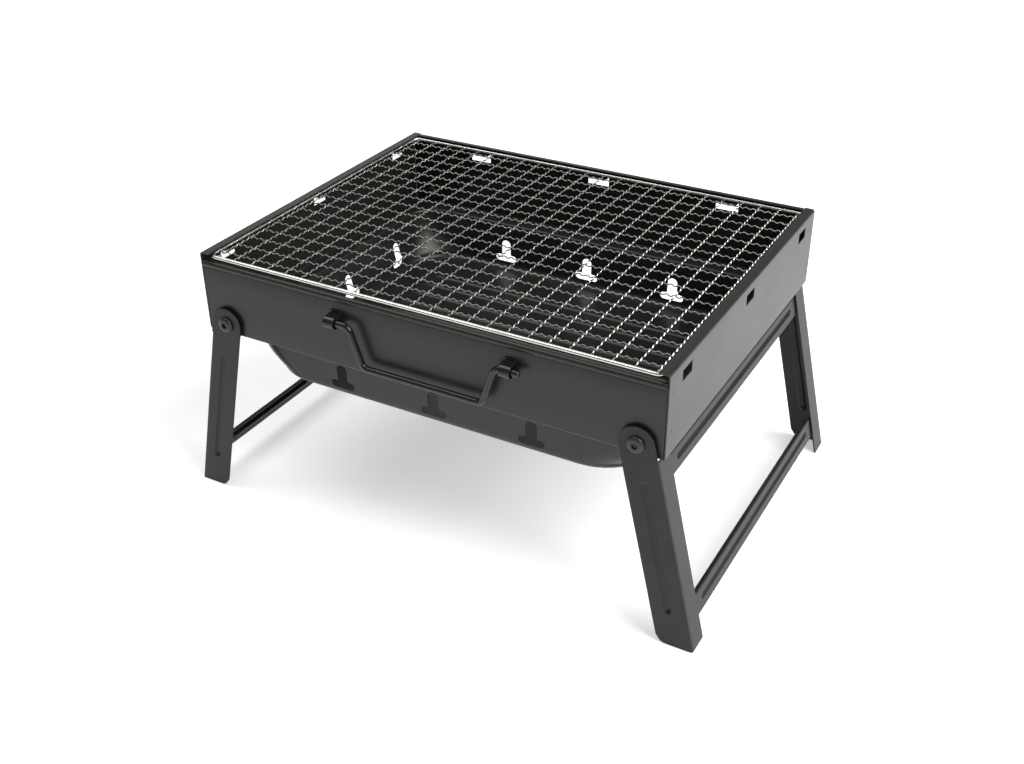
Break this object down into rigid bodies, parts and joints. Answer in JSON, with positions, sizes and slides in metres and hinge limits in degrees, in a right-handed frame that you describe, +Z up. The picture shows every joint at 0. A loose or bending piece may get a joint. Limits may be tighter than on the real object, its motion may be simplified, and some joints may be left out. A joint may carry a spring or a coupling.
{
  "type": "folding camp grill",
  "caption": "Folding charcoal camp grill: a sheet-steel fire frame on two fold-in leg frames, with a hung fire tray, a loose woven wire grate and a wire bail handle.",
  "frame": {"origin": "on the floor, under the middle of the whole outline", "axes": "+Z up, +X along the long side to the right as seen from the front, +Y to the back; the handle is on the -Y side"},
  "size_m": [0.408, 0.2862, 0.198],
  "materials": {
    "black_enamel": "satin heat-proof black paint on folded sheet steel",
    "leg_paint": "satin black paint on folded sheet steel",
    "tray_paint": "satin black heat-proof paint on drawn sheet steel",
    "gloss_black": "gloss black paint on bent wire and strap",
    "black_fastener": "black-plated steel",
    "bright_wire": "bright plated steel wire"
  },
  "bodies": {
    "fire_frame": {"front_wall": "black_enamel", "back_wall": "black_enamel", "left_end_wall": "black_enamel", "right_end_wall": "black_enamel", "left_handle_lug": "gloss_black", "right_handle_lug": "gloss_black", "left_front_pivot_bolt": "black_fastener", "left_back_pivot_bolt": "black_fastener", "right_front_pivot_bolt": "black_fastener", "right_back_pivot_bolt": "black_fastener", "left_front_washer": "black_fastener", "left_back_washer": "black_fastener", "right_front_washer": "black_fastener", "right_back_washer": "black_fastener", "left_front_nut": "black_fastener", "left_back_nut": "black_fastener", "right_front_nut": "black_fastener", "right_back_nut": "black_fastener"},
    "left_legs": {"left_front_leg": "leg_paint", "left_back_leg": "leg_paint", "left_upper_crossbar": "leg_paint", "left_lower_crossbar": "leg_paint"},
    "right_legs": {"right_front_leg": "leg_paint", "right_back_leg": "leg_paint", "right_upper_crossbar": "leg_paint", "right_lower_crossbar": "leg_paint"},
    "tray": {"fire_tray": "tray_paint"},
    "grate": {"grate_rim": "bright_wire", "grate_mesh": "bright_wire"},
    "handle": {"handle_bail": "gloss_black"}
  },
  "joints": [
    {"name": "left_legs_fold", "type": "hinge", "parent": "fire_frame", "child": "left_legs", "pos_m": [-0.157, 0.0025, 0.147], "axis": [0, -1, 0], "range_deg": [0, 103.2]},
    {"name": "right_legs_fold", "type": "hinge", "parent": "fire_frame", "child": "right_legs", "pos_m": [0.157, 0.0025, 0.147], "axis": [0, 1, 0], "range_deg": [0, 103.2]},
    {"name": "tray_lift", "type": "slide", "parent": "fire_frame", "child": "tray", "axis": [0, 0, 1], "range_m": [0, 0.048]},
    {"name": "handle_swing", "type": "hinge", "parent": "fire_frame", "child": "handle", "pos_m": [0, -0.1388, 0.175], "axis": [-1, 0, 0], "range_deg": [0, 110]},
    {"name": "grate_slide", "type": "slide", "parent": "fire_frame", "child": "grate", "axis": [0, -1, 0], "range_m": [0, 0.275]}
  ],
  "couplings": [
    {"joint": "right_legs_fold", "follows": "left_legs_fold", "ratio": 1},
    {"joint": "tray_lift", "follows": "left_legs_fold", "m_per_rad": 0.0266}
  ]
}
